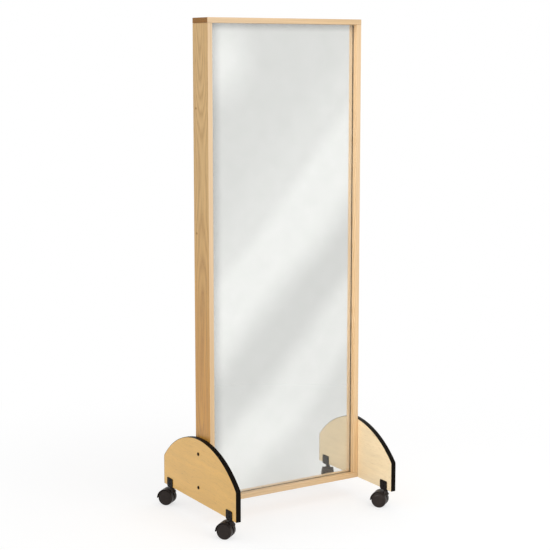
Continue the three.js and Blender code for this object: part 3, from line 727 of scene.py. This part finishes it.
class FLOOR_MIRROR_OT_fasteners(bpy.types.Operator):
    """Adds the wood screws of the spreaders and corners, and the bolts and nuts of the feet"""
    bl_idname = "floor_mirror.fasteners"
    bl_label = "Screws, bolts and nuts"

    def execute(self, context):
        settings = context.scene.mirror_fasteners
        recess = settings.recess_depth / MM
        # Black oxide on a bolt head: dark brown-grey, with an oily half gloss.
        oxide = metal_plate("black_oxide_steel", settings.oxide, 3.0, 0.30, 0.44)
        # Passivated zinc on a wood screw: dull brassy yellow, so that the heads sink into the oak.
        yellow = metal_plate("yellow_zinc_plate", settings.yellow_zinc, 2.5, 0.34, 0.48)
        for side, outward in OUTWARD.items():
            for level in LEVELS:
                self.add_screw(f"{level}_spreader_screw_{side}", outward, recess, yellow)
                self.add_bolt(f"{side}_{level}_foot_bolt", outward, recess, oxide)
                self.add_nut(f"{side}_{level}_foot_nut", -outward)
            self.add_screw(f"top_{side}_corner_screw", Z, recess, yellow)
            self.add_screw(f"bottom_{side}_corner_screw", -Z, recess, yellow)
        return {"FINISHED"}

    def add_screw(self, node, outward, recess, yellow):
        low, high = box_mm(node)
        mesh = carved(turned(screw_profile(max(high - low)) + [(0, 0)], 32), cross_recess(recess))
        place(node + "_cut", mesh, yellow, "frame",
              aimed(face_centre(node, outward), outward), node)

    def add_bolt(self, node, outward, recess, oxide):
        low, high = box_mm(node)
        reach = high.x - low.x
        dome = [(6 * math.cos(a), 2.4 * math.sin(a) - 2.4) for a in (math.pi / 16 * k for k in range(8))]
        profile = [(0, -reach), (2.5, -reach), (3, 0.5 - reach), (3, -3.2), (6, -3.2), *dome, (0, 0)]
        socket = slab(arc((0, 0), 4 / math.sqrt(3), 0, 300, 5), 2 * recess)
        place(node + "_domed", carved(turned(profile), socket), oxide, "frame",
              aimed(face_centre(node, outward), outward), node)

    def add_nut(self, node, outward):
        hexagon = slab(arc((0, 0), 10 / math.sqrt(3), 0, 300, 5), 6)
        hexagon = moved(hexagon, Matrix.Translation((0, 0, -3)))
        faced = turned([(0, -6.1), (6.2, -6.1), (6.2, -1.0), (4.9, 0), (0, 0)])
        flange = turned([(0, -6.2), (7, -6.2), (7, -5.6), (6.6, -5.2), (5.2, -4.8), (0, -4.8)])
        bore = turned([(0, -8), (BOLT_BORE, -8), (BOLT_BORE, -0.6), (4.2, 0.3), (0, 0.3)])
        mesh = carved(carved(carved(hexagon, faced, "INTERSECT"), flange, "UNION"), bore)
        place(node + "_flanged", mesh, zinc_plate(), "frame",
              aimed(face_centre(node, outward), outward), node)


# ------------------------------------------------------------------ feet

UPRIGHT_END = 102  # height of a foot's upright ends, before the shoulder is rounded


def foot_edge(settings, start=0.0):
    """Stations along a foot's edge, from one upright end over the arch to the other: each has the point
    that it turns round, its radius and its angle."""
    low, high = box_mm("left_foot_panel")
    half, crown = (high.y - low.y) / 2, high.z - low.z
    rise = crown - UPRIGHT_END
    radius = (half ** 2 + rise ** 2) / (2 * rise)
    centre, fillet = crown - radius, settings.shoulder_radius / MM
    y = half - fillet
    z = centre + math.sqrt((radius - fillet) ** 2 - y ** 2)
    meet = math.degrees(math.atan2(z - centre, y))
    arch, steps = settings.arch_steps, 8
    stations = [((half, start), 0, 0), ((half, z / 2), 0, 0)]
    stations += [((y, z), fillet, meet * k / steps) for k in range(steps)]
    stations += [((0, centre), radius, meet + (180 - 2 * meet) * k / arch) for k in range(arch + 1)]
    stations += [((-y, z), fillet, 180 - meet * k / steps) for k in reversed(range(steps))]
    return stations + [((-half, z / 2), 0, 180), ((-half, start), 0, 180)]


def edge_point(station, offset):
    """The point at a station of a foot's edge, moved out from the panel by an offset."""
    (y, z), radius, angle = station
    angle = math.radians(angle)
    return y + (radius + offset) * math.cos(angle), z + (radius + offset) * math.sin(angle)


def along_edge(stations, section):
    """A section of (through the panel, out from its edge) swept along the edge."""
    return lofted([[(*edge_point(station, out), across) for across, out in section]
                   for station in stations])


class FLOOR_MIRROR_OT_feet(bpy.types.Operator):
    """Adds the two arched foot panels with the T-moulding in their edges"""
    bl_idname = "floor_mirror.feet"
    bl_label = "Foot panels and mouldings"

    def execute(self, context):
        settings = context.scene.mirror_feet
        birch = lacquered_birch(settings)
        # Extruded vinyl: satin black with a brown cast, and faint waves from the die.
        vinyl = black_surface("extruded_black_vinyl", settings.vinyl, 1.5, 1.2, 0.36, 0.48, 0.05, 0.05)
        for side, outward in OUTWARD.items():
            low, high = box_mm(f"{side}_foot_panel")
            at = basis(Y, Z, X, ((low.x + high.x) / 2, (low.y + high.y) / 2, low.z))
            edge = foot_edge(settings)
            panel = slab([edge_point(station, 0) for station in edge], high.x - low.x, 0.5,
                         lambda a, b: max(a.y, b.y) < 1)
            kerf = [(-1.3, -8.3), (1.3, -8.3), (1.3, 1), (-1.3, 1)]
            panel = carved(panel, along_edge(foot_edge(settings, -1.0), kerf))
            holes = {f"{side}_{level}_foot_bolt": BOLT_BORE for level in LEVELS}
            holes |= {f"{end}_{side}_{level}_rivet": RIVET_BORE
                      for end in ("front", "rear") for level in LEVELS}
            for node, radius in holes.items():
                spot = at.inverted() @ face_centre(node, outward)
                hole = moved(rod(radius, -20, 20), Matrix.Translation((spot.x, spot.y, 0)))
                panel = carved(panel, hole)
            place(f"{side}_arched_foot", panel, birch, "frame", at, f"{side}_foot_panel")
            section = self.section(settings.crown / MM, (high.x - low.x) / 2)
            place(f"{side}_foot_moulding", along_edge(edge, section), vinyl,
                  "frame", at, f"{side}_edge_moulding")
        return {"FINISHED"}

    def section(self, crown, half):
        """The moulding's T: a crowned face over the panel's edge and a toothed barb in its kerf."""
        face = [(half, SEAT), (half, 2.0 - crown), (half / 2, 1.9), (0, 2.0), (-half / 2, 1.9),
                (-half, 2.0 - crown), (-half, SEAT)]
        barb = [(1.0, SEAT), (0.75, -2.2), (1.2, -2.5), (0.7, -4.6), (1.15, -4.9), (0.6, -7.2),
                (0.4, -8)]
        return rounded(face + [(-x, y) for x, y in barb] + barb[::-1], {1: 0.7, 5: 0.7}, 3)


# ------------------------------------------------------------------ brackets, rivets and stems

def bracket_mesh():
    """A pressed U over the panel's edge: cheeks with round corners, tight bends and a shorter base."""
    inner, outer, bend, base_in, base_out = 9.3, 11.3, 2.5, -2.8, -5.3
    stations = []
    for k in range(7):
        a = math.radians(90 - 15 * k)
        height = 26 + 4 * math.sin(a)
        stations.append(((inner, height), (outer, height), 16 + 4 * math.cos(a)))
    stations += [((inner, height), (outer, height), 20) for height in (20, 10, 0.7)]
    for k in range(6):
        a = math.radians(18 * k)
        inside = (inner - 0.5 + 0.5 * math.cos(a), base_in + 0.5 - 0.5 * math.sin(a))
        outside = (outer - bend + bend * math.cos(a), base_out + bend - bend * math.sin(a))
        stations.append((inside, outside, 14 + ((inside[1] + outside[1]) / 2 + 6.3) * 6 / 7))
    stations += [((-i[0], i[1]), (-o[0], o[1]), half) for i, o, half in stations[::-1]]
    rings, ease = [], 0.3
    for inside, outside, half in stations:
        step = (Vector(outside) - Vector(inside)).normalized() * ease
        near, far = Vector(inside) + step, Vector(outside) - step
        side = [(*inside, half - ease), (*near, half), (*far, half), (*outside, half - ease)]
        side += [(x, z, -y) for x, z, y in side[::-1]]
        rings.append([(x, y, z) for x, z, y in side])
    mesh = carved(lofted(rings), rod(STEM_BORE, -8, 0))
    for height in (9, 21):
        mesh = carved(mesh, moved(rod(RIVET_BORE, -20, 20), aimed(Z * height, X)))
    return mesh


class FLOOR_MIRROR_OT_brackets(bpy.types.Operator):
    """Adds the U-brackets under the panels' ends, their rivets and the casters' stems"""
    bl_idname = "floor_mirror.brackets"
    bl_label = "Brackets, rivets and stems"

    def execute(self, context):
        settings = context.scene.mirror_casters
        # Powder coat on pressed steel: near black, a slight orange peel and a low gloss.
        coat = black_surface("powder_coated_black_steel", settings.coat, 1.5, 1.6, 0.38, 0.50, 0.08,
                             0.07)
        angles = [math.pi / 12 * k for k in range(5, -1, -1)]
        head = [(0, -13), *((3.75 * math.cos(a), -11.6 - 1.4 * math.sin(a)) for a in angles), (2, -11.6)]
        rivet = head + [(radius, -height) for radius, height in head[::-1]]
        stem = [(0, -22), (3, -22), (4, -21), (4, -2.5), (6.6, -2.5), (7, -2.1), (7, -0.9), (6.2, -0.3),
                (0, -0.3)]
        for name in CASTERS:
            centre = Vector(JOINTS[f"{name}_swivel"]["pos_m"]) / MM
            at = Matrix.Translation(centre)
            place(f"{name}_pressed_bracket", bracket_mesh(), coat, "frame", at,
                  f"{name}_bracket")
            for level, height in (("lower", 9), ("upper", 21)):
                place(f"{name}_{level}_domed_rivet", turned(rivet, 32), coat, "frame",
                      aimed(centre + Z * height, X), f"{name}_{level}_rivet")
            place(f"{name}_turned_stem", turned(stem, 32), zinc_plate(), "frame", at,
                  f"{name}_stem")
        return {"FINISHED"}


# ------------------------------------------------------------------ casters

# A caster's frame: its origin on the swivel's axis at the panel's edge, +X trailing, +Y the axle's.
TRAIL = 20.0
WHEEL_RADIUS = JOINTS["front_left_left_wheel_spin"]["pos_m"][2] / MM
AXLE_DROP = JOINTS["front_left_swivel"]["pos_m"][2] / MM - WHEEL_RADIUS
HOOD_IN, HOOD_OUT = 28.6, 31.0
HOOD_FROM, HOOD_TO = -4.0, 144.0


def hood_mesh(edge):
    """A tapered hood over both treads, the web between the wheels and a flared neck, in one moulding."""
    rings, degree = [], math.degrees(1 / HOOD_OUT)
    ends = [(0, 0.8), (0.25, 0.3), (0.9, 0)]
    stations = [(HOOD_FROM + along * degree, inset) for along, inset in ends]
    stations += [(HOOD_FROM + 4 + 5 * k, 0) for k in range(28)]
    stations += [(HOOD_TO - along * degree, inset) for along, inset in ends[::-1]]
    for angle, inset in stations:
        a = math.radians(angle)
        half, low, high = 23 - 3 * math.sin(a) - inset, HOOD_IN + inset, HOOD_OUT - inset
        inner, outer = min(0.3, 0.2 * (high - low)), min(edge, 0.6 * (high - low))
        section = rounded([(-half, low), (half, low), (half, high), (-half, high)],
                          {0: inner, 1: inner, 2: outer, 3: outer}, 3)
        rings.append([(TRAIL + r * math.cos(a), y, r * math.sin(a) - AXLE_DROP) for y, r in section])
    hub = (TRAIL, -AXLE_DROP)
    outline = arc(hub, HOOD_OUT - 1.2, HOOD_FROM, HOOD_TO, 28) + arc(hub, 8, 180, 360, 16)
    web = moved(slab(outline, 6, 0.5), basis(X, Z, -Y))
    foot, top = math.sqrt(HOOD_IN ** 2 - TRAIL ** 2) - AXLE_DROP, -5.6
    flare = [(7.5 + 5.5 * (1 - k / 8) ** 1.6, foot + (top - 4 - foot) * k / 8) for k in range(9)]
    neck = turned([(0, foot), *flare, (7.5, top - 0.5), (7.0, top), (0, top)], 48)
    mesh = carved(carved(lofted(rings), web, "UNION"), neck, "UNION")
    mesh = carved(mesh, rod(STEM_BORE, -22.3, 0, 32))
    wheel_room = (27 + HOOD_IN) / 2
    for radius, low, high in ((AXLE_BORE, -8, 8), (wheel_room, 3, 60), (wheel_room, -60, -3)):
        mesh = carved(mesh, moved(rod(radius, low, high, 64), aimed(Vector((hub[0], 0, hub[1])), Y)))
    return mesh


def wheel_mesh(facets):
    """A dished wheel with a rounded tread and a raised round cap, its axle along +Z."""
    face, out = 22.0, 23.2
    tread = arc((WHEEL_RADIUS - 3.5, face - 3.5), 3.5, 0, 90, 6)
    profile = [(0, 20.2), (AXLE_BORE, 20.2), (AXLE_BORE, 4.2), (3.8, 3.7), (7.2, 3.7), (7.5, 4.0),
               (9, 10.5), (11, 11.7), (19.5, 11.7), (21.5, 10.5), (23.2, 4.2), (23.7, 3.7),
               (WHEEL_RADIUS - 0.6, 3.7), (WHEEL_RADIUS, 4.3), *tread, (21.2, face), (20.8, face - 0.5),
               (20.2, face - 0.5), (19.5, face + 0.1), (16.6, out - 0.1), (16.0, out), (0, out)]
    return turned(profile, facets)


class FLOOR_MIRROR_OT_casters(bpy.types.Operator):
    """Adds each caster's hood, axle and two wheels"""
    bl_idname = "floor_mirror.casters"
    bl_label = "Casters"

    def execute(self, context):
        settings = context.scene.mirror_casters
        # Nylon from a spark-textured mould: brown-black with a soft broad sheen.
        nylon = black_surface("moulded_black_nylon", settings.nylon, 1.45, 0.6, 0.38, 0.50, 0.06)
        axle = [(0, -19.85), (2.5, -19.85), (3, -19.35), (3, 19.35), (2.5, 19.85), (0, 19.85)]
        for name in CASTERS:
            joint = JOINTS[f"{name}_left_wheel_spin"]
            across, hub = Vector(joint["axis"]), Vector(joint["pos_m"]) / MM
            swivel = Matrix.Translation(Vector(JOINTS[f"{name}_swivel"]["pos_m"]) / MM)
            at, body = Matrix.Translation(hub), f"{name}_caster"
            hood = moved(hood_mesh(settings.hood_edge / MM), basis(across.cross(Z), across, Z))
            place(f"{name}_moulded_hood", hood, nylon, body, swivel,
                  f"{name}_caster_hood", sharp=30)
            place(f"{name}_turned_axle", moved(turned(axle, 24), aimed((0, 0, 0), across)), zinc_plate(),
                  body, at, f"{name}_axle")
            for side, outward in (("left", across), ("right", -across)):
                node = f"{name}_{side}_wheel"
                wheel = moved(wheel_mesh(settings.facets), aimed((0, 0, 0), outward))
                place(f"{name}_{side}_capped_wheel", wheel, nylon, node, at, node,
                      sharp=30)
        return {"FINISHED"}


# ------------------------------------------------------------------ stage

FLOOR_RADIUS, FLOOR_FACETS = 6.0, 64
# Near the object the floor shows this much glow of its own, and this much white that takes shadow.
FLOOR_GLOW, FLOOR_SHADE = 0.66, 0.40
# The camera's place and its tilt and turn in degrees, fitted to the photograph's straight edges.
CAMERA_PLACE, CAMERA_TILT, CAMERA_TURN = (-2.5244, -4.0797, 1.5868), 90 - 8.070, -31.762
# Each lamp's width and height, its place, and the point that it is aimed at.
KEY_LAMP = ((1.0, 1.8), (0.35, -1.75, 1.2), (0, 0, 1.05))
STRIP_LAMP = ((0.3, 2.0), (-1.5, -0.2, 1.35), (0.3, -0.1, 0.9))
# The sheet that paints reflection bands into the mirror spans it between the feet, just in front of the
# frame.
BAND_SHEET_PLACE, BAND_SHEET_LEFT, BAND_SHEET_RIGHT, BAND_SHEET_HALF_HEIGHT = (0.02, -0.053, 0.9), -0.325, 0.285, 0.85


def seen_directly(tree):
    """1 for rays from the camera, a reflection or a clear pane, and 0 for light that falls on things."""
    path = add(tree, "LightPath").outputs
    seen = add(tree, "Math", {0: path["Is Camera Ray"], 1: path["Is Glossy Ray"]}, operation="ADD")
    return add(tree, "Math", {0: seen, 1: path["Is Transmission Ray"]}, operation="ADD", use_clamp=True)


def matt_floor(settings):
    """A matt white floor that shows white but keeps the shadow, and runs out into the white beyond."""

    def surface(tree):
        spot = add(tree, "TexCoord").outputs["Object"]
        speckle = add(tree, "TexNoise", {"Vector": spot, "Scale": 40.0, "Detail": 3.0}).outputs["Fac"]
        tone = add(tree, "MapRange", {0: speckle, 1: 0.3, 2: 0.7, 3: 0.98, 4: 1.0})
        paint = add(tree, "VectorMath", {0: tuple(settings.floor), 3: tone}, operation="SCALE")
        falls = add(tree, "BsdfDiffuse", {"Color": paint})
        far = add(tree, "VectorMath", {0: spot}, operation="LENGTH").outputs["Value"]
        near = add(tree, "MapRange", {0: far, 1: 0.7, 2: 1.9, 3: 1.0, 4: 0.0},
                   interpolation_type="SMOOTHSTEP")
        shade = add(tree, "VectorMath", {0: (FLOOR_SHADE,) * 3, 3: near}, operation="SCALE")
        glow = add(tree, "MapRange", {0: near, 3: 1.0, 4: FLOOR_GLOW})
        shown = add(tree, "AddShader", {0: add(tree, "BsdfDiffuse", {"Color": shade}),
                                        1: add(tree, "Emission", {"Strength": glow})})
        return add(tree, "MixShader", {0: seen_directly(tree), 1: falls, 2: shown})

    return finish("matt_white_floor", surface)


def banded_gauze():
    """A see-through sheet of painted reflection: it dims what the mirror reflects in soft slanting
    bands, like reflected studio lights, and leaves a painted highlight near the top left. It belongs to
    the stage."""

    def surface(tree):
        spot = add(tree, "TexCoord").outputs["Object"]
        bend = add(tree, "TexNoise", {"Vector": spot, "Scale": 2.2, "Detail": 1.0}).outputs["Fac"]
        across = add(tree, "VectorMath", {0: spot, 1: (0.737, 0.0, -0.676)}, operation="DOT_PRODUCT")
        across = add(tree, "Math", {0: bend, 1: 0.10, 2: across.outputs["Value"]},
                     operation="MULTIPLY_ADD")
        across = add(tree, "MapRange", {0: across, 1: -0.45, 2: 0.85})
        # Painted reflection: the bright and dim levels of the slanting bands.
        levels = ((0.0, 0.80), (0.11, 0.81), (0.26, 0.88), (0.317, 1.0), (0.40, 1.0), (0.513, 0.75),
                  (0.557, 0.75), (0.637, 0.93), (0.693, 0.93), (0.78, 0.79), (0.82, 0.79), (0.93, 0.90))
        bands = add(tree, "ValToRGB", {0: across}, [(at, (level,) * 3) for at, level in levels])
        bands.color_ramp.interpolation = "EASE"
        # Painted highlight: around this spot the sheet lets the reflection through undimmed.
        glow = add(tree, "VectorMath", {0: spot, 1: (-0.26, 0.0, 0.671)}, operation="DISTANCE")
        glow = add(tree, "MapRange", {0: glow.outputs["Value"], 1: 0.02, 2: 0.20, 3: 1.0, 4: 0.0},
                   interpolation_type="SMOOTHSTEP")
        band_shade = add(tree, "Mix", {0: glow, 6: bands, 7: (1, 1, 1, 1)}, data_type="RGBA").outputs[2]
        return add(tree, "BsdfTransparent", {"Color": band_shade})

    return finish("banded_gauze", surface)


class FLOOR_MIRROR_OT_stage(bpy.types.Operator):
    """Adds the floor, the soft studio light, the sheet that paints reflection bands into the mirror, and
    the camera
    """
    bl_idname = "floor_mirror.stage"
    bl_label = "Stage"

    def execute(self, context):
        settings = context.scene.mirror_stage
        last = 360 * (FLOOR_FACETS - 1) / FLOOR_FACETS
        rim = arc((0, 0), FLOOR_RADIUS, 0, last, FLOOR_FACETS - 1)
        mesh = solid([(x, y, 0) for x, y in rim], [range(len(rim))])
        if mesh.polygons[0].normal.z < 0:
            mesh.flip_normals()
        mesh.materials.append(matt_floor(settings))
        floor = bpy.data.objects.new("studio_floor", mesh)
        context.scene.collection.objects.link(floor)
        self.add_reflection_sheet(context)
        self.add_world(context, settings)
        key = self.add_lamp(context, "key_softbox", settings.key, *KEY_LAMP)
        strip = self.add_lamp(context, "strip_softbox", settings.strip, *STRIP_LAMP)
        # Neither lamp shows in the glass, and the strip passes by the left side to light the right one.
        near_side = [item.name for item in bpy.data.objects
                     if item.name.startswith(("left_", "front_left_", "rear_left_", "top_"))]
        self.exclude(key, "silvered_glass")
        self.exclude(strip, "silvered_glass", "studio_floor", *near_side)
        self.add_camera(context, settings)
        context.scene.view_settings.view_transform = "Standard"
        return {"FINISHED"}

    def add_reflection_sheet(self, context):
        sides, half = (BAND_SHEET_LEFT, BAND_SHEET_RIGHT), BAND_SHEET_HALF_HEIGHT
        corners = [(x, 0, -half) for x in sides] + [(x, 0, half) for x in reversed(sides)]
        mesh = solid(corners, [range(4)])
        mesh.materials.append(banded_gauze())
        band_sheet = bpy.data.objects.new("gauze_before_mirror", mesh)
        band_sheet.location = BAND_SHEET_PLACE
        band_sheet.visible_camera = band_sheet.visible_diffuse = band_sheet.visible_shadow = False
        band_sheet.visible_volume_scatter = False
        context.scene.collection.objects.link(band_sheet)

    def add_world(self, context, settings):
        world = bpy.data.worlds.new("white_studio")
        world.use_nodes = True
        tree = world.node_tree
        tree.nodes.clear()
        level = add(tree, "MapRange", {0: seen_directly(tree), 3: settings.ambient, 4: 1.0})
        glow = add(tree, "Background", {"Color": (1, 1, 1, 1), "Strength": level})
        add(tree, "OutputWorld", {"Surface": glow})
        context.scene.world = world

    def add_lamp(self, context, name, power, lengths, position, target):
        lamp = bpy.data.lights.new(name, "AREA")
        lamp.shape, lamp.size, lamp.size_y, lamp.energy = "RECTANGLE", *lengths, power
        piece = bpy.data.objects.new(name, lamp)
        piece.location = position
        piece.rotation_euler = (Vector(target) - Vector(position)).to_track_quat("-Z", "Y").to_euler()
        piece.visible_camera = piece.visible_transmission = False
        context.scene.collection.objects.link(piece)
        return piece

    def exclude(self, lamp, *names):
        unlit = bpy.data.collections.new(lamp.name + "_unlit")
        for name in names:
            unlit.objects.link(bpy.data.objects[name])
        for item in unlit.collection_objects:
            item.light_linking.link_state = "EXCLUDE"
        lamp.light_linking.receiver_collection = unlit

    def add_camera(self, context, settings):
        lens = bpy.data.cameras.new("photo_camera")
        lens.sensor_width, lens.lens, lens.shift_y = 36, settings.lens, settings.shift
        camera = bpy.data.objects.new("photo_camera", lens)
        camera.location = CAMERA_PLACE
        camera.rotation_euler = (math.radians(CAMERA_TILT), 0, math.radians(CAMERA_TURN))
        context.scene.collection.objects.link(camera)
        context.scene.camera = camera


# ------------------------------------------------------------------ add-on

SETTINGS = {
    "mirror_boards": BoardSettings,
    "mirror_glass": MirrorSettings,
    "mirror_feet": FootSettings,
    "mirror_fasteners": FastenerSettings,
    "mirror_casters": CasterSettings,
    "mirror_stage": StageSettings,
}
STEPS = (FLOOR_MIRROR_OT_boards, FLOOR_MIRROR_OT_mirror, FLOOR_MIRROR_OT_fasteners, FLOOR_MIRROR_OT_feet,
         FLOOR_MIRROR_OT_brackets, FLOOR_MIRROR_OT_casters, FLOOR_MIRROR_OT_stage)


class FLOOR_MIRROR_PT_build(bpy.types.Panel):
    """Lists the pieces of the floor mirror"""
    bl_label = "Floor Mirror"
    bl_idname = "FLOOR_MIRROR_PT_build"
    bl_space_type = "VIEW_3D"
    bl_region_type = "UI"
    bl_category = "Floor Mirror"

    def draw(self, context):
        for step in STEPS:
            self.layout.operator(step.bl_idname, text=step.bl_label)
        for name, group in SETTINGS.items():
            box = self.layout.box()
            for key in group.__annotations__:
                box.prop(getattr(context.scene, name), key)


CLASSES = (*SETTINGS.values(), *STEPS, FLOOR_MIRROR_PT_build)


def register():
    for item in CLASSES:
        bpy.utils.register_class(item)
    for name, group in SETTINGS.items():
        setattr(bpy.types.Scene, name, PointerProperty(type=group))


def unregister():
    for name in SETTINGS:
        delattr(bpy.types.Scene, name)
    for item in reversed(CLASSES):
        bpy.utils.unregister_class(item)


def main():
    register()
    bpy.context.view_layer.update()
    bpy.ops.floor_mirror.boards()
    bpy.ops.floor_mirror.mirror()
    bpy.ops.floor_mirror.fasteners()
    bpy.ops.floor_mirror.feet()
    bpy.ops.floor_mirror.brackets()
    bpy.ops.floor_mirror.casters()
    bpy.ops.floor_mirror.stage()


if __name__ == "__main__":
    main()
